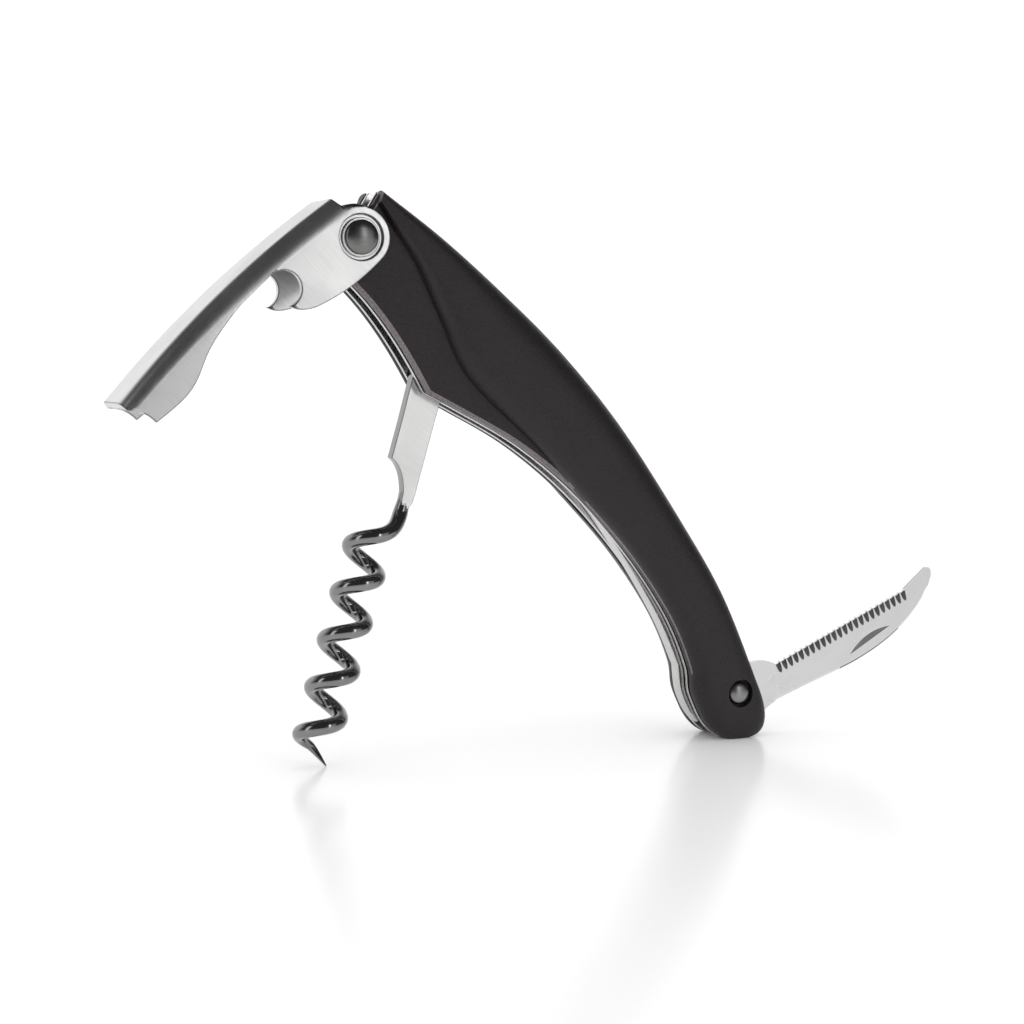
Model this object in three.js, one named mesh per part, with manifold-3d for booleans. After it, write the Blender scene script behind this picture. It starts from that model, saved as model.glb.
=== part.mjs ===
// Lever corkscrew (waiter's friend), in millimetres, +Z up.
// The tool lies in the XZ plane and its thickness runs along Y, front side at -Y.
// It stands on the tail of its handle and on the tip of its worm.
import * as THREE from "three";
import { mergeVertices } from "three/addons/utils/BufferGeometryUtils.js";
import Module from "manifold-3d";

const wasm = await Module();
wasm.setup();

// Pivots, as [x, z] in the plane of the tool.
const LEVER_PIVOT = [-30.3, 89.55];
const WORM_PIVOT = [-15.26, 68.3];
const KNIFE_PIVOT = [42.8, 8.5];

// Layers, as distances from the middle plane.
const LINER_IN = 1.6;
const LINER_OUT = 2.4;
const SCALE_IN = 2.7;
const RECESS_FACE = 4.7;
const CHEEK_IN = 5.65;
const CHEEK_OUT = 7;

// Fits.
const GAP = 0.3;
const PIN_RADIUS = 1.25;
const PIN_CLEARANCE = 0.2;
const PIN_HOLE = PIN_RADIUS + PIN_CLEARANCE;

// Head of the handle and the lever's rivet.
const TONGUE_RADIUS = 5.7;
const RIVET_SHAFT = 1.9;
const RIVET_HOLE = RIVET_SHAFT + GAP;
const RIVET_DOME = 2.9;
const RIVET_RING = 3.3;
const DIMPLE_RADIUS = 3.85;
const DIMPLE_DEPTH = 0.6;

// Tail rivet.
const TAIL_DOME = 2.1;
const TAIL_RECESS = 2.6;
const TAIL_RECESS_FLOOR = 5;

// Lever: a folded channel whose back bulges a little between the foot and the shoulder.
const LEVER_SHOULDER = [-34.9, 95.9];
const LEVER_FOOT = [-70.9, 62.5];
const LEVER_BULGE = 1.6;
const LEVER_BEND_RADIUS = 2.2;
const EYE_RADIUS = 5.05;
const NOTCH_CENTRE = [-43.75, 80.9];
const NOTCH_RADIUS = 3.1;

// Worm: its axis leans from the vertical, and the shank sits beside that axis.
const WORM_LEAN = THREE.MathUtils.degToRad(16.2);
const WORM_PITCH = 8.32;
const WORM_TURNS = 4.78;
const WORM_TIP = [3.2, 0.6, 70.85];
const WIRE_RADIUS = 1.35;
const COIL_RADIUS = 3.05;
const SHANK_HALF_THICKNESS = 1.1;
const SHANK_OFFSET = 2.65;
const PIVOT_TO_COIL = 28.65;
const TAPER_LENGTH = 12;

// Knife blade.
const BLADE_HALF_THICKNESS = 0.5;
const TANG_RADIUS = 4.2;
const TEETH = 24;
const TOOTH_DEPTH = 0.45;

const COLOURS = {
  black: { color: 0x2a2829, roughness: 0.5, metalness: 0 },
  steel: { color: 0xcfcfce, roughness: 0.35, metalness: 1 },
  polished: { color: 0x8a8888, roughness: 0.15, metalness: 1 },
};

const model = new THREE.Group();

function vector([x, z]) {
  return new THREE.Vector2(x, z);
}

function add(name, geometry, finish) {
  const mesh = new THREE.Mesh(geometry, new THREE.MeshStandardMaterial(COLOURS[finish]));
  mesh.name = name;
  model.add(mesh);
}

function toSolid(geometry) {
  const bare = geometry.clone();
  bare.deleteAttribute("normal");
  bare.deleteAttribute("uv");
  const merged = mergeVertices(bare, 1e-4);
  const vertProperties = new Float32Array(merged.attributes.position.array);
  const triVerts = new Uint32Array(merged.index.array);
  return new wasm.Manifold(new wasm.Mesh({ numProp: 3, vertProperties, triVerts }));
}

function toGeometry(solid) {
  const mesh = solid.getMesh();
  const geometry = new THREE.BufferGeometry();
  geometry.setAttribute("position", new THREE.BufferAttribute(mesh.vertProperties, 3));
  geometry.setIndex(new THREE.BufferAttribute(mesh.triVerts, 1));
  geometry.computeVertexNormals();
  return geometry;
}

function subtract(body, ...cutters) {
  return toGeometry(cutters.reduce((solid, cutter) => solid.subtract(toSolid(cutter)), toSolid(body)));
}

function join(body, ...others) {
  return toGeometry(others.reduce((solid, other) => solid.add(toSolid(other)), toSolid(body)));
}

function intersect(body, other) {
  return toGeometry(toSolid(body).intersect(toSolid(other)));
}

// An outline in the XZ plane, made solid from one Y to another.
function plate(shape, fromY, toY, curveSegments = 5) {
  const options = { depth: toY - fromY, bevelEnabled: false, curveSegments };
  const geometry = new THREE.ExtrudeGeometry(shape, options);
  geometry.rotateX(Math.PI / 2);
  geometry.translate(0, toY, 0);
  return geometry;
}

// A round solid about an axis along Y, from a profile of [radius, y] pairs.
function turned([x, z], profile, segments = 24) {
  const geometry = new THREE.LatheGeometry(profile.map(vector), segments);
  geometry.translate(x, 0, z);
  return geometry;
}

function disc(centre, radius, fromY, toY, segments) {
  return turned(centre, [[0, fromY], [radius, fromY], [radius, toY], [0, toY]], segments);
}

function ring(centre, inner, outer, fromY, toY, segments) {
  const profile = [[inner, fromY], [outer, fromY], [outer, toY], [inner, toY], [inner, fromY]];
  return turned(centre, profile, segments);
}

// The same solid on the other side of the middle plane, its faces still pointing out.
function mirrored(geometry) {
  const copy = geometry.clone();
  copy.scale(1, -1, 1);
  const flipped = copy.index ? copy.toNonIndexed() : copy;
  const corners = flipped.attributes.position;
  for (let i = 0; i < corners.count; i += 3) {
    const a = new THREE.Vector3().fromBufferAttribute(corners, i);
    const b = new THREE.Vector3().fromBufferAttribute(corners, i + 1);
    corners.setXYZ(i, b.x, b.y, b.z);
    corners.setXYZ(i + 1, a.x, a.y, a.z);
  }
  return flipped;
}

// Adds a piece on the rear side (+Y) and its mirror image on the front side.
function addPair(name, geometry, finish) {
  add(`front_${name}`, mirrored(geometry), finish);
  add(`rear_${name}`, geometry, finish);
}

// Outline of the handle.
const SPINE = [[-25.8, 97.5], [-15, 89.9], [-4, 80.9], [7.4, 70.5], [19, 57.4], [31, 40.5], [40, 26.2],
  [47.6, 9.4]];
const UNDERSIDE = [[35.8, 4.8], [34, 9], [33.2, 14], [29, 23.2], [20.9, 34.6], [10.5, 45.8], [-0.4, 54.3],
  [-11.4, 60.4]];
const KNEE = [-17.6, 63.6];
const TAIL_FLAT = [41, 45.2];

// Adds the tail's rounded end to a shape whose pen is at the end of the spine.
function roundTheTail(shape) {
  shape.bezierCurveTo(50.4, 3.4, 49.4, 0, TAIL_FLAT[1], 0);
  shape.lineTo(TAIL_FLAT[0], 0);
  shape.quadraticCurveTo(37.8, 1, ...UNDERSIDE[0]);
}

function handleOutline() {
  const shape = new THREE.Shape();
  const [x, z] = LEVER_PIVOT;
  shape.moveTo(...SPINE[0]);
  shape.splineThru(SPINE.slice(1).map(vector));
  roundTheTail(shape);
  shape.splineThru(UNDERSIDE.slice(1).map(vector));
  shape.lineTo(...KNEE);
  shape.quadraticCurveTo(-25.6, 78.6, x - 4.6, z - 4.45);
  shape.absarc(x, z, TONGUE_RADIUS, THREE.MathUtils.degToRad(224), THREE.MathUtils.degToRad(62), true);
  return shape;
}

// Raised grip: a crowned skin between the step line and the spine.
const STEP = [[-26.6, 95.2], [-24.2, 91.4], [-20, 85.3], [-15.6, 76], [-10.3, 65.8], [2.4, 54.4],
  [11.6, 45], [21.4, 34.3], [29.4, 23], [33.6, 14], [34.6, 8], [40.4, 0.8]];
const GRIP_TOP = [[-25.9, 97], [-15.1, 89.6], [-4.1, 80.6], [7.2, 70.3], [18.8, 57.2], [30.8, 40.3],
  [39.7, 26.1], [47.2, 9.6], [48.2, 3.6], [44.6, 0.6]];
const GRIP_STEPS_ALONG = 40;
const GRIP_STEPS_ACROSS = 8;

// Half thickness of the grip along its length, from 0 at the head to 1 at the tail.
function gripHeight(along) {
  const belly = Math.sin(Math.PI * Math.pow(along, 0.85));
  const tailRounding = 0.9 * Math.pow(along, 24);
  return 6.1 + 1.9 * belly - tailRounding;
}

function raisedGrip() {
  const low = new THREE.SplineCurve(STEP.map(vector));
  const high = new THREE.SplineCurve(GRIP_TOP.map(vector));
  const box = new THREE.BoxGeometry(1, 1, 1, GRIP_STEPS_ALONG, 1, GRIP_STEPS_ACROSS);
  const points = box.attributes.position;
  for (let i = 0; i < points.count; i += 1) {
    const along = points.getX(i) + 0.5;
    const across = (1 - Math.cos(Math.PI * (points.getZ(i) + 0.5))) / 2;
    const outer = points.getY(i) > 0;
    const crown = Math.sqrt(1 - Math.pow(Math.abs(2 * across - 1), 3));
    const place = low.getPointAt(along).lerp(high.getPointAt(along), across);
    const crest = RECESS_FACE - GAP + (gripHeight(along) - RECESS_FACE + GAP) * crown;
    points.setXYZ(i, place.x, outer ? crest : SCALE_IN + GAP, place.y);
  }
  return box;
}

function scale() {
  const blank = join(plate(handleOutline(), SCALE_IN, RECESS_FACE), raisedGrip());
  const leverHole = disc(LEVER_PIVOT, RIVET_HOLE, 0, 10);
  const knifeHole = disc(KNIFE_PIVOT, PIN_HOLE, 0, 10);
  const rivetRecess = disc(KNIFE_PIVOT, TAIL_RECESS, TAIL_RECESS_FLOOR, 10);
  return subtract(blank, leverHole, knifeHole, rivetRecess);
}

// Pins that only hold the frame together.
const SPRING_PIN = [7, 54.9];
const SPACER_PINS = { head_spacer_pin: [-15.4, 86.9], mid_spacer_pin: [2.4, 71.8] };

function liner() {
  const pins = [WORM_PIVOT, KNIFE_PIVOT, SPRING_PIN, ...Object.values(SPACER_PINS)];
  const pinHoles = pins.map((pin) => disc(pin, PIN_HOLE, 0, 5, 20));
  const rivetHole = disc(LEVER_PIVOT, RIVET_HOLE, 0, 5);
  return subtract(plate(handleOutline(), LINER_IN, LINER_OUT), rivetHole, ...pinHoles);
}

const SPRING_LOWER = [[-3.6, 63.4], [3.8, 55.6], [12.6, 45.2], [21, 34.1], [28.2, 22.6], [32.4, 13.6]];
const SPRING_UPPER = [[35.6, 16], [30.4, 26.8], [20.6, 41.4], [10.4, 54.6], [-0.4, 66.6], [-9.6, 73.6]];

// One bar presses on the worm's tang at one end and on the knife's tang at the other.
function backSpring() {
  const half = LINER_IN - GAP;
  const shape = new THREE.Shape();
  shape.moveTo(-10.9, 70.2);
  shape.splineThru(SPRING_LOWER.map(vector));
  shape.splineThru([[33, 9], [34.7, 5.2], [36.6, 2.8]].map(vector));
  shape.lineTo(38.1, 4.4);
  shape.lineTo(38.2, 8.5);
  shape.splineThru(SPRING_UPPER.map(vector));
  shape.closePath();
  return subtract(plate(shape, -half, half), disc(SPRING_PIN, PIN_HOLE, -5, 5, 20));
}

// Filler on the spine, from the head to the start of the blade's slot.
function spineSpacer() {
  const half = LINER_IN - GAP;
  const shape = new THREE.Shape();
  shape.moveTo(-25.2, 96.5);
  shape.splineThru([[-15.2, 89.3], [-4.3, 80.4], [6.6, 70.4]].map(vector));
  shape.lineTo(3, 68.6);
  shape.splineThru([[-5.6, 76.4], [-16, 84], [-22.4, 88.6]].map(vector));
  shape.closePath();
  const pinHoles = Object.values(SPACER_PINS).map((pin) => disc(pin, PIN_HOLE, -5, 5, 20));
  return subtract(plate(shape, -half, half), ...pinHoles);
}

// A shaft with a domed head at each end.
function domedRivet(centre, shaftRadius, headRadius, headFrom, rise) {
  const quarter = [0, 1, 2, 3].map((part) => (part * Math.PI) / 6);
  const head = quarter.map((a) => [headRadius * Math.cos(a), headFrom + rise * Math.sin(a)]);
  const upper = [[shaftRadius, headFrom], ...head];
  upper[upper.length - 1][0] = 0;
  const lower = upper.map(([radius, y]) => [radius, -y]).reverse();
  return turned(centre, [...lower, ...upper]);
}

// Lever: the folded channel is cut to the cheeks' outline, then opened at the eye.
const LEVER_ANGLE = Math.atan2(LEVER_SHOULDER[1] - LEVER_FOOT[1], LEVER_SHOULDER[0] - LEVER_FOOT[0]);

const CHEEK_EDGE = [[-51, 78.2], [-54.3, 74.1], [-56.5, 70.6], [-58.6, 65.8], [-61, 62.8], [-65.2, 59.4]];

// The outline runs clear of the back, so that only the ends and the cheeks are trimmed.
function cheekOutline() {
  const clear = 4;
  const shape = new THREE.Shape();
  const [x, z] = LEVER_PIVOT;
  const [notchX, notchZ] = NOTCH_CENTRE;
  const outX = -clear * Math.sin(LEVER_ANGLE);
  const outZ = clear * Math.cos(LEVER_ANGLE);
  shape.moveTo(LEVER_SHOULDER[0] + outX, LEVER_SHOULDER[1] + outZ);
  shape.lineTo(...LEVER_SHOULDER);
  shape.quadraticCurveTo(-33.5, 93.9, x - 1.4, z + 5);
  shape.absarc(x, z, EYE_RADIUS, THREE.MathUtils.degToRad(105), THREE.MathUtils.degToRad(-38), true);
  shape.quadraticCurveTo(-31.4, 81, -38.1, 78);
  shape.quadraticCurveTo(-41, 77, -42.5, 78.05);
  const notchTo = THREE.MathUtils.degToRad(146);
  shape.absarc(notchX, notchZ, NOTCH_RADIUS, THREE.MathUtils.degToRad(-66), notchTo, false);
  shape.splineThru(CHEEK_EDGE.map(vector));
  shape.quadraticCurveTo(-67, 61.4, -69.9, 61.4);
  shape.lineTo(...LEVER_FOOT);
  shape.lineTo(LEVER_FOOT[0] + outX, LEVER_FOOT[1] + outZ);
  shape.closePath();
  return shape;
}

// Cross-section of the folded sheet, its back at x = 0 and its cheeks running towards +x.
function channelSection() {
  const sheet = CHEEK_OUT - CHEEK_IN;
  const depth = 24;
  const shape = new THREE.Shape();
  shape.moveTo(depth, CHEEK_OUT);
  shape.lineTo(LEVER_BEND_RADIUS, CHEEK_OUT);
  shape.quadraticCurveTo(0, CHEEK_OUT, 0, CHEEK_OUT - LEVER_BEND_RADIUS);
  shape.lineTo(0, LEVER_BEND_RADIUS - CHEEK_OUT);
  shape.quadraticCurveTo(0, -CHEEK_OUT, LEVER_BEND_RADIUS, -CHEEK_OUT);
  shape.lineTo(depth, -CHEEK_OUT);
  shape.lineTo(depth, -CHEEK_IN);
  shape.lineTo(LEVER_BEND_RADIUS, -CHEEK_IN);
  shape.quadraticCurveTo(sheet, -CHEEK_IN, sheet, LEVER_BEND_RADIUS - CHEEK_OUT);
  shape.lineTo(sheet, CHEEK_OUT - LEVER_BEND_RADIUS);
  shape.quadraticCurveTo(sheet, CHEEK_IN, LEVER_BEND_RADIUS, CHEEK_IN);
  shape.lineTo(depth, CHEEK_IN);
  shape.closePath();
  return shape;
}

function foldedChannel() {
  const overhang = 2;
  const backLength = Math.hypot(LEVER_SHOULDER[0] - LEVER_FOOT[0], LEVER_SHOULDER[1] - LEVER_FOOT[1]);
  const geometry = new THREE.ExtrudeGeometry(channelSection(), {
    depth: backLength + 6 * overhang,
    steps: 24,
    bevelEnabled: false,
    curveSegments: 5,
  });
  const points = geometry.attributes.position;
  for (let i = 0; i < points.count; i += 1) {
    const along = (points.getZ(i) - overhang) / backLength;
    points.setX(i, points.getX(i) - 4 * LEVER_BULGE * along * (1 - along));
  }
  // Section x becomes the depth below the back, section y stays Y, and the length runs to the shoulder.
  const along = new THREE.Vector3(Math.cos(LEVER_ANGLE), 0, Math.sin(LEVER_ANGLE));
  const inward = new THREE.Vector3(Math.sin(LEVER_ANGLE), 0, -Math.cos(LEVER_ANGLE));
  const across = new THREE.Vector3().crossVectors(along, inward);
  geometry.applyMatrix4(new THREE.Matrix4().makeBasis(inward, across, along));
  geometry.translate(LEVER_FOOT[0] - overhang * along.x, 0, LEVER_FOOT[1] - overhang * along.z);
  return geometry;
}

function lever() {
  const outline = plate(cheekOutline(), -CHEEK_OUT - 1, CHEEK_OUT + 1, 7);
  const blank = intersect(foldedChannel(), outline);
  const eyeRoom = disc(LEVER_PIVOT, TONGUE_RADIUS + GAP, -CHEEK_IN, CHEEK_IN);
  const rivetHole = disc(LEVER_PIVOT, RIVET_HOLE, -10, 10);
  const floor = CHEEK_OUT - DIMPLE_DEPTH;
  const above = CHEEK_OUT + 2;
  const dimple = [[0, floor], [DIMPLE_RADIUS - 0.4, floor], [DIMPLE_RADIUS, CHEEK_OUT],
    [DIMPLE_RADIUS, above], [0, above]];
  const rearDimple = turned(LEVER_PIVOT, dimple);
  return subtract(blank, eyeRoom, rivetHole, rearDimple, mirrored(rearDimple));
}

// Worm: local axes are n, sideways towards the tail, and s, down the worm's axis.
const AXIS_DOWN = new THREE.Vector3(-Math.sin(WORM_LEAN), 0, -Math.cos(WORM_LEAN));
const AXIS_SIDE = new THREE.Vector3(Math.cos(WORM_LEAN), 0, -Math.sin(WORM_LEAN));

function wormPoint(n, y, s) {
  const point = new THREE.Vector3(WORM_PIVOT[0], y, WORM_PIVOT[1]);
  point.addScaledVector(AXIS_SIDE, n - SHANK_OFFSET);
  return point.addScaledVector(AXIS_DOWN, s);
}

// The wire's centre line: straight inside the shank, eased into the coil, and a straight tip.
const WIRE_FROM = PIVOT_TO_COIL - 9;
const NECK_FROM = PIVOT_TO_COIL - 3.5;
const NECK_OFFSET = 4.2;
const NECK_TURN = 0.25;

function coilPoint(turn, radius, s) {
  const angle = turn * 2 * Math.PI;
  return wormPoint(radius * Math.cos(angle), -radius * Math.sin(angle), s);
}

function wirePath() {
  const points = [wormPoint(NECK_OFFSET, 0, WIRE_FROM), wormPoint(NECK_OFFSET, 0, NECK_FROM)];
  const neckSteps = 6;
  const drop = PIVOT_TO_COIL + NECK_TURN * WORM_PITCH - NECK_FROM;
  const lastSlope = 2 * NECK_TURN * WORM_PITCH;
  for (let i = 1; i <= neckSteps; i += 1) {
    const t = i / neckSteps;
    const easing = 1 - t * t * (3 - 2 * t);
    const s = NECK_FROM + (2 * drop - lastSlope) * t + (lastSlope - drop) * t * t;
    points.push(coilPoint(NECK_TURN * t * t, COIL_RADIUS + (NECK_OFFSET - COIL_RADIUS) * easing, s));
  }
  const stepsPerTurn = 20;
  const steps = Math.round((WORM_TURNS - NECK_TURN) * stepsPerTurn);
  for (let i = 1; i <= steps; i += 1) {
    const turn = NECK_TURN + (i / steps) * (WORM_TURNS - NECK_TURN);
    points.push(coilPoint(turn, COIL_RADIUS, PIVOT_TO_COIL + turn * WORM_PITCH));
  }
  points.push(wormPoint(...WORM_TIP));
  return new THREE.CatmullRomCurve3(points);
}

// The wire is thinner inside the shank, and its tip is drawn out to a point.
function wireRadius(fromStart, fromEnd) {
  const swelling = THREE.MathUtils.smoothstep(fromStart, 2.5, 7);
  const thinning = 1 - Math.min(1, fromEnd / TAPER_LENGTH);
  return WIRE_RADIUS * (0.75 + 0.25 * swelling) * (1 - 0.9 * Math.pow(thinning, 1.6));
}

// Wraps a cylinder along the wire's centre line.
function wire() {
  const steps = 120;
  const sides = 8;
  const path = wirePath();
  const length = path.getLength();
  const cylinder = new THREE.CylinderGeometry(1, 1, 1, sides, steps);
  const points = cylinder.attributes.position;
  for (let i = 0; i < points.count; i += 1) {
    const along = 0.5 - points.getY(i);
    const centre = path.getPointAt(along);
    const tangent = path.getTangentAt(along);
    const side = new THREE.Vector3().crossVectors(AXIS_DOWN, tangent);
    side.addScaledVector(AXIS_SIDE, -0.05).projectOnPlane(tangent).normalize();
    const up = new THREE.Vector3().crossVectors(side, tangent);
    const radius = wireRadius(along * length, (1 - along) * length);
    centre.addScaledVector(up, radius * points.getX(i));
    centre.addScaledVector(side, radius * points.getZ(i));
    points.setXYZ(i, centre.x, centre.y, centre.z);
  }
  return cylinder;
}

function shankOutline() {
  const tang = 3.3;
  const left = -0.3 - SHANK_OFFSET;
  const right = 5.6 - SHANK_OFFSET;
  const shape = new THREE.Shape();
  shape.absarc(0, 0, tang, Math.PI * 0.9, Math.PI * 0.1, true);
  shape.lineTo(right, -10);
  shape.lineTo(right, -PIVOT_TO_COIL + 6.5);
  shape.lineTo(right - 2.3, -PIVOT_TO_COIL + 6.5);
  shape.quadraticCurveTo(left + 2.4, -PIVOT_TO_COIL + 10.6, left, -PIVOT_TO_COIL + 11.4);
  shape.lineTo(left, -10);
  shape.closePath();
  return shape;
}

function worm() {
  const shank = plate(shankOutline(), -SHANK_HALF_THICKNESS, SHANK_HALF_THICKNESS);
  const bored = subtract(shank, disc([0, 0], PIN_HOLE, -5, 5, 20));
  bored.rotateY(WORM_LEAN);
  bored.translate(WORM_PIVOT[0], 0, WORM_PIVOT[1]);
  return join(bored, wire());
}

// Knife blade: round tang, toothed edge on top, curved back below.
const EDGE_FROM = [53.4, 12.5];
const EDGE_TO = [82, 25.2];

function bladeOutline() {
  const [x, z] = KNIFE_PIVOT;
  const shape = new THREE.Shape();
  shape.absarc(x, z, TANG_RADIUS, THREE.MathUtils.degToRad(-70), THREE.MathUtils.degToRad(80), true);
  shape.lineTo(49.2, 13.3);
  shape.quadraticCurveTo(51.4, 13.6, ...EDGE_FROM);
  for (let i = 0; i < TEETH; i += 1) {
    const gullet = vector(EDGE_FROM).lerp(vector(EDGE_TO), (i + 0.5) / TEETH);
    const point = vector(EDGE_FROM).lerp(vector(EDGE_TO), (i + 1) / TEETH);
    shape.quadraticCurveTo(gullet.x + TOOTH_DEPTH, gullet.y - 2 * TOOTH_DEPTH, point.x, point.y);
  }
  shape.lineTo(86.9, 29.2);
  shape.quadraticCurveTo(88.2, 29.4, 88, 27.4);
  shape.splineThru([[85.8, 22.6], [80.1, 16.9], [71.9, 12.2], [61, 8.2], [53.3, 5.3], [51, 3.7]].map(vector));
  shape.closePath();
  return shape;
}

function nailNick() {
  const shape = new THREE.Shape();
  shape.moveTo(69.1, 11.9);
  shape.quadraticCurveTo(73.4, 17.6, 80, 18.2);
  shape.closePath();
  return plate(shape, -2, -BLADE_HALF_THICKNESS / 2);
}

function knifeBlade() {
  const blank = plate(bladeOutline(), -BLADE_HALF_THICKNESS, BLADE_HALF_THICKNESS, 3);
  return subtract(blank, disc(KNIFE_PIVOT, PIN_HOLE, -5, 5, 20), nailNick());
}

addPair("scale", scale(), "black");
addPair("liner", liner(), "steel");
add("back_spring", backSpring(), "steel");
add("spring_pin", disc(SPRING_PIN, PIN_RADIUS, -LINER_OUT, LINER_OUT, 20), "steel");
add("spine_spacer", spineSpacer(), "black");
for (const [name, place] of Object.entries(SPACER_PINS)) {
  add(name, disc(place, PIN_RADIUS, -LINER_OUT, LINER_OUT, 20), "steel");
}

add("lever", lever(), "steel");
const ringFrom = CHEEK_OUT - DIMPLE_DEPTH + 0.2;
const ringTo = ringFrom + 0.35;
add("lever_rivet", domedRivet(LEVER_PIVOT, RIVET_SHAFT, RIVET_DOME, ringTo + 0.15, 1.1), "polished");
add("lever_bush", ring(LEVER_PIVOT, RIVET_HOLE, 3.6, GAP - LINER_IN, LINER_IN - GAP), "steel");
addPair("rivet_ring", ring(LEVER_PIVOT, RIVET_HOLE, RIVET_RING, ringFrom, ringTo), "steel");
const leverWasher = ring(LEVER_PIVOT, RIVET_HOLE, 4.4, RECESS_FACE + 0.25, CHEEK_IN - 0.25);
addPair("lever_washer", leverWasher, "steel");

add("worm", worm(), "polished");
add("worm_pin", disc(WORM_PIVOT, PIN_RADIUS, -LINER_OUT, LINER_OUT, 20), "steel");

add("knife_blade", knifeBlade(), "steel");
add("knife_rivet", domedRivet(KNIFE_PIVOT, PIN_RADIUS, TAIL_DOME, TAIL_RECESS_FLOOR + GAP, 1.1), "polished");
const knifeWasher = ring(KNIFE_PIVOT, PIN_HOLE, 3.2, BLADE_HALF_THICKNESS + 0.25, LINER_IN - GAP);
addPair("knife_washer", knifeWasher, "steel");

// The origin is under the middle of the tool, on the surface that it stands on.
model.updateMatrixWorld(true);
const box = new THREE.Box3().setFromObject(model, true);
const centre = box.getCenter(new THREE.Vector3());
model.position.set(-centre.x, -centre.y, -box.min.z);

export default model;
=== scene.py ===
import math

import bpy
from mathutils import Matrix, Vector


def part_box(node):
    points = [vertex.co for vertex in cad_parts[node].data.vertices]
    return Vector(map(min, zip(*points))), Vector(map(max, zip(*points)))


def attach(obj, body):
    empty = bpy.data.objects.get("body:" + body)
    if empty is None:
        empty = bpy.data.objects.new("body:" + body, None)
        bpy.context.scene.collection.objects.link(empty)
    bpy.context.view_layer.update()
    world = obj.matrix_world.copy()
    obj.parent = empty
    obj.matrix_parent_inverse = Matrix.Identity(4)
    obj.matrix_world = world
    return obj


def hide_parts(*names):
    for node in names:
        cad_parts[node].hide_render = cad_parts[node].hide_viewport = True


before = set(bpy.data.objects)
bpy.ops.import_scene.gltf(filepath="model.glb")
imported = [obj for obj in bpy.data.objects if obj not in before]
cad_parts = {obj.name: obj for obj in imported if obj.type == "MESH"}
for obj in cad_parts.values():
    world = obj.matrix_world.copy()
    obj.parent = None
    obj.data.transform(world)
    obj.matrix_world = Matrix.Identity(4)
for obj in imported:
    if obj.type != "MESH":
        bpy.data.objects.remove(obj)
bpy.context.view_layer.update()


# ---- Liners ----
# Two flat plates of stainless sheet that carry every pivot, one inside each black scale.
# They are stamped to the handle's outline, deburred, and held apart by pins.

MM = 0.001
pin_low, pin_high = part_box("worm_pin")
DRAWN_WORM_PIVOT = (-15.26, 68.3)
SHIFT_X = (pin_low.x + pin_high.x) / 2 / MM - DRAWN_WORM_PIVOT[0]
SHIFT_Z = (pin_low.z + pin_high.z) / 2 / MM - DRAWN_WORM_PIVOT[1]

LEVER_PIVOT = (-30.3, 89.55)
KNIFE_PIVOT = (42.8, 8.5)
PIN_HOLE = 1.45
RIVET_HOLE = 2.2
SPRING_PIN = (7, 54.9)
SPACER_PINS = ((-15.4, 86.9), (2.4, 71.8))

SPINE = [(-25.8, 97.5), (-15, 89.9), (-4, 80.9), (7.4, 70.5), (19, 57.4), (31, 40.5), (40, 26.2), (47.6, 9.4)]
TAIL = [(47.6, 9.4), (50.4, 3.4), (49.4, 0), (45.2, 0)]
HEEL = [(41, 0), (37.8, 1), (35.8, 4.8)]
UNDERSIDE = [(35.8, 4.8), (34, 9), (33.2, 14), (29, 23.2), (20.9, 34.6), (10.5, 45.8), (-0.4, 54.3),
             (-11.4, 60.4)]
KNEE = (-17.6, 63.6)
THROAT = [KNEE, (-25.6, 78.6), (-34.9, 85.1)]
TONGUE_RADIUS = 5.7

LINER_IN = 1.6
LINER_OUT = 2.4
SAME_POINT = 0.02
SCRATCH_DULLING = 0.12


def placed(x, y, z):
    """A point of the drawing, in millimetres, as a place in the row frame."""
    return Vector(((x + SHIFT_X) * MM, y * MM, (z + SHIFT_Z) * MM))


def smooth(points, steps=8):
    """A smooth line through all the points."""
    line = []
    for i in range(len(points) - 1):
        start, stop = Vector(points[i]), Vector(points[i + 1])
        before = Vector(points[max(i - 1, 0)])
        after = Vector(points[min(i + 2, len(points) - 1)])
        leaving, arriving = (stop - before) / 2, (after - start) / 2
        for step in range(steps):
            t = step / steps
            cubic = 2 * (start - stop) + leaving + arriving
            square = 3 * (stop - start) - 2 * leaving - arriving
            line.append(cubic * t ** 3 + square * t ** 2 + leaving * t + start)
    return line + [Vector(points[-1])]


def bend(points, steps=10):
    """A Bezier curve from the first point to the last, pulled by the points between."""
    line = []
    for step in range(steps + 1):
        level = [Vector(p) for p in points]
        while len(level) > 1:
            level = [a.lerp(b, step / steps) for a, b in zip(level, level[1:])]
        line.append(level[0])
    return line


def on_circle(centre, radius, angle):
    """A point of a circle, its angle in degrees and counted from +X towards +Z."""
    turn = math.radians(angle)
    return Vector(centre) + radius * Vector((math.cos(turn), math.sin(turn)))


def arc(centre, radius, start, stop, steps=24):
    """Part of a circle, from one angle to another."""
    return [on_circle(centre, radius, start + (stop - start) * step / steps) for step in range(steps + 1)]


def chain(*stretches):
    """One outline from stretches that meet end to end, each shared point kept once."""
    line = []
    for stretch in stretches:
        for point in stretch:
            if not line or (Vector(point) - line[-1]).length > SAME_POINT:
                line.append(Vector(point))
    if (line[0] - line[-1]).length < SAME_POINT:
        line.pop()
    return line


def start_fresh():
    bpy.ops.object.select_all(action="DESELECT")


def settle():
    """Leaves the active piece at the origin, unturned, with its place in its mesh."""
    bpy.ops.object.transform_apply(location=True, rotation=True, scale=True)
    return bpy.context.object


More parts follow.
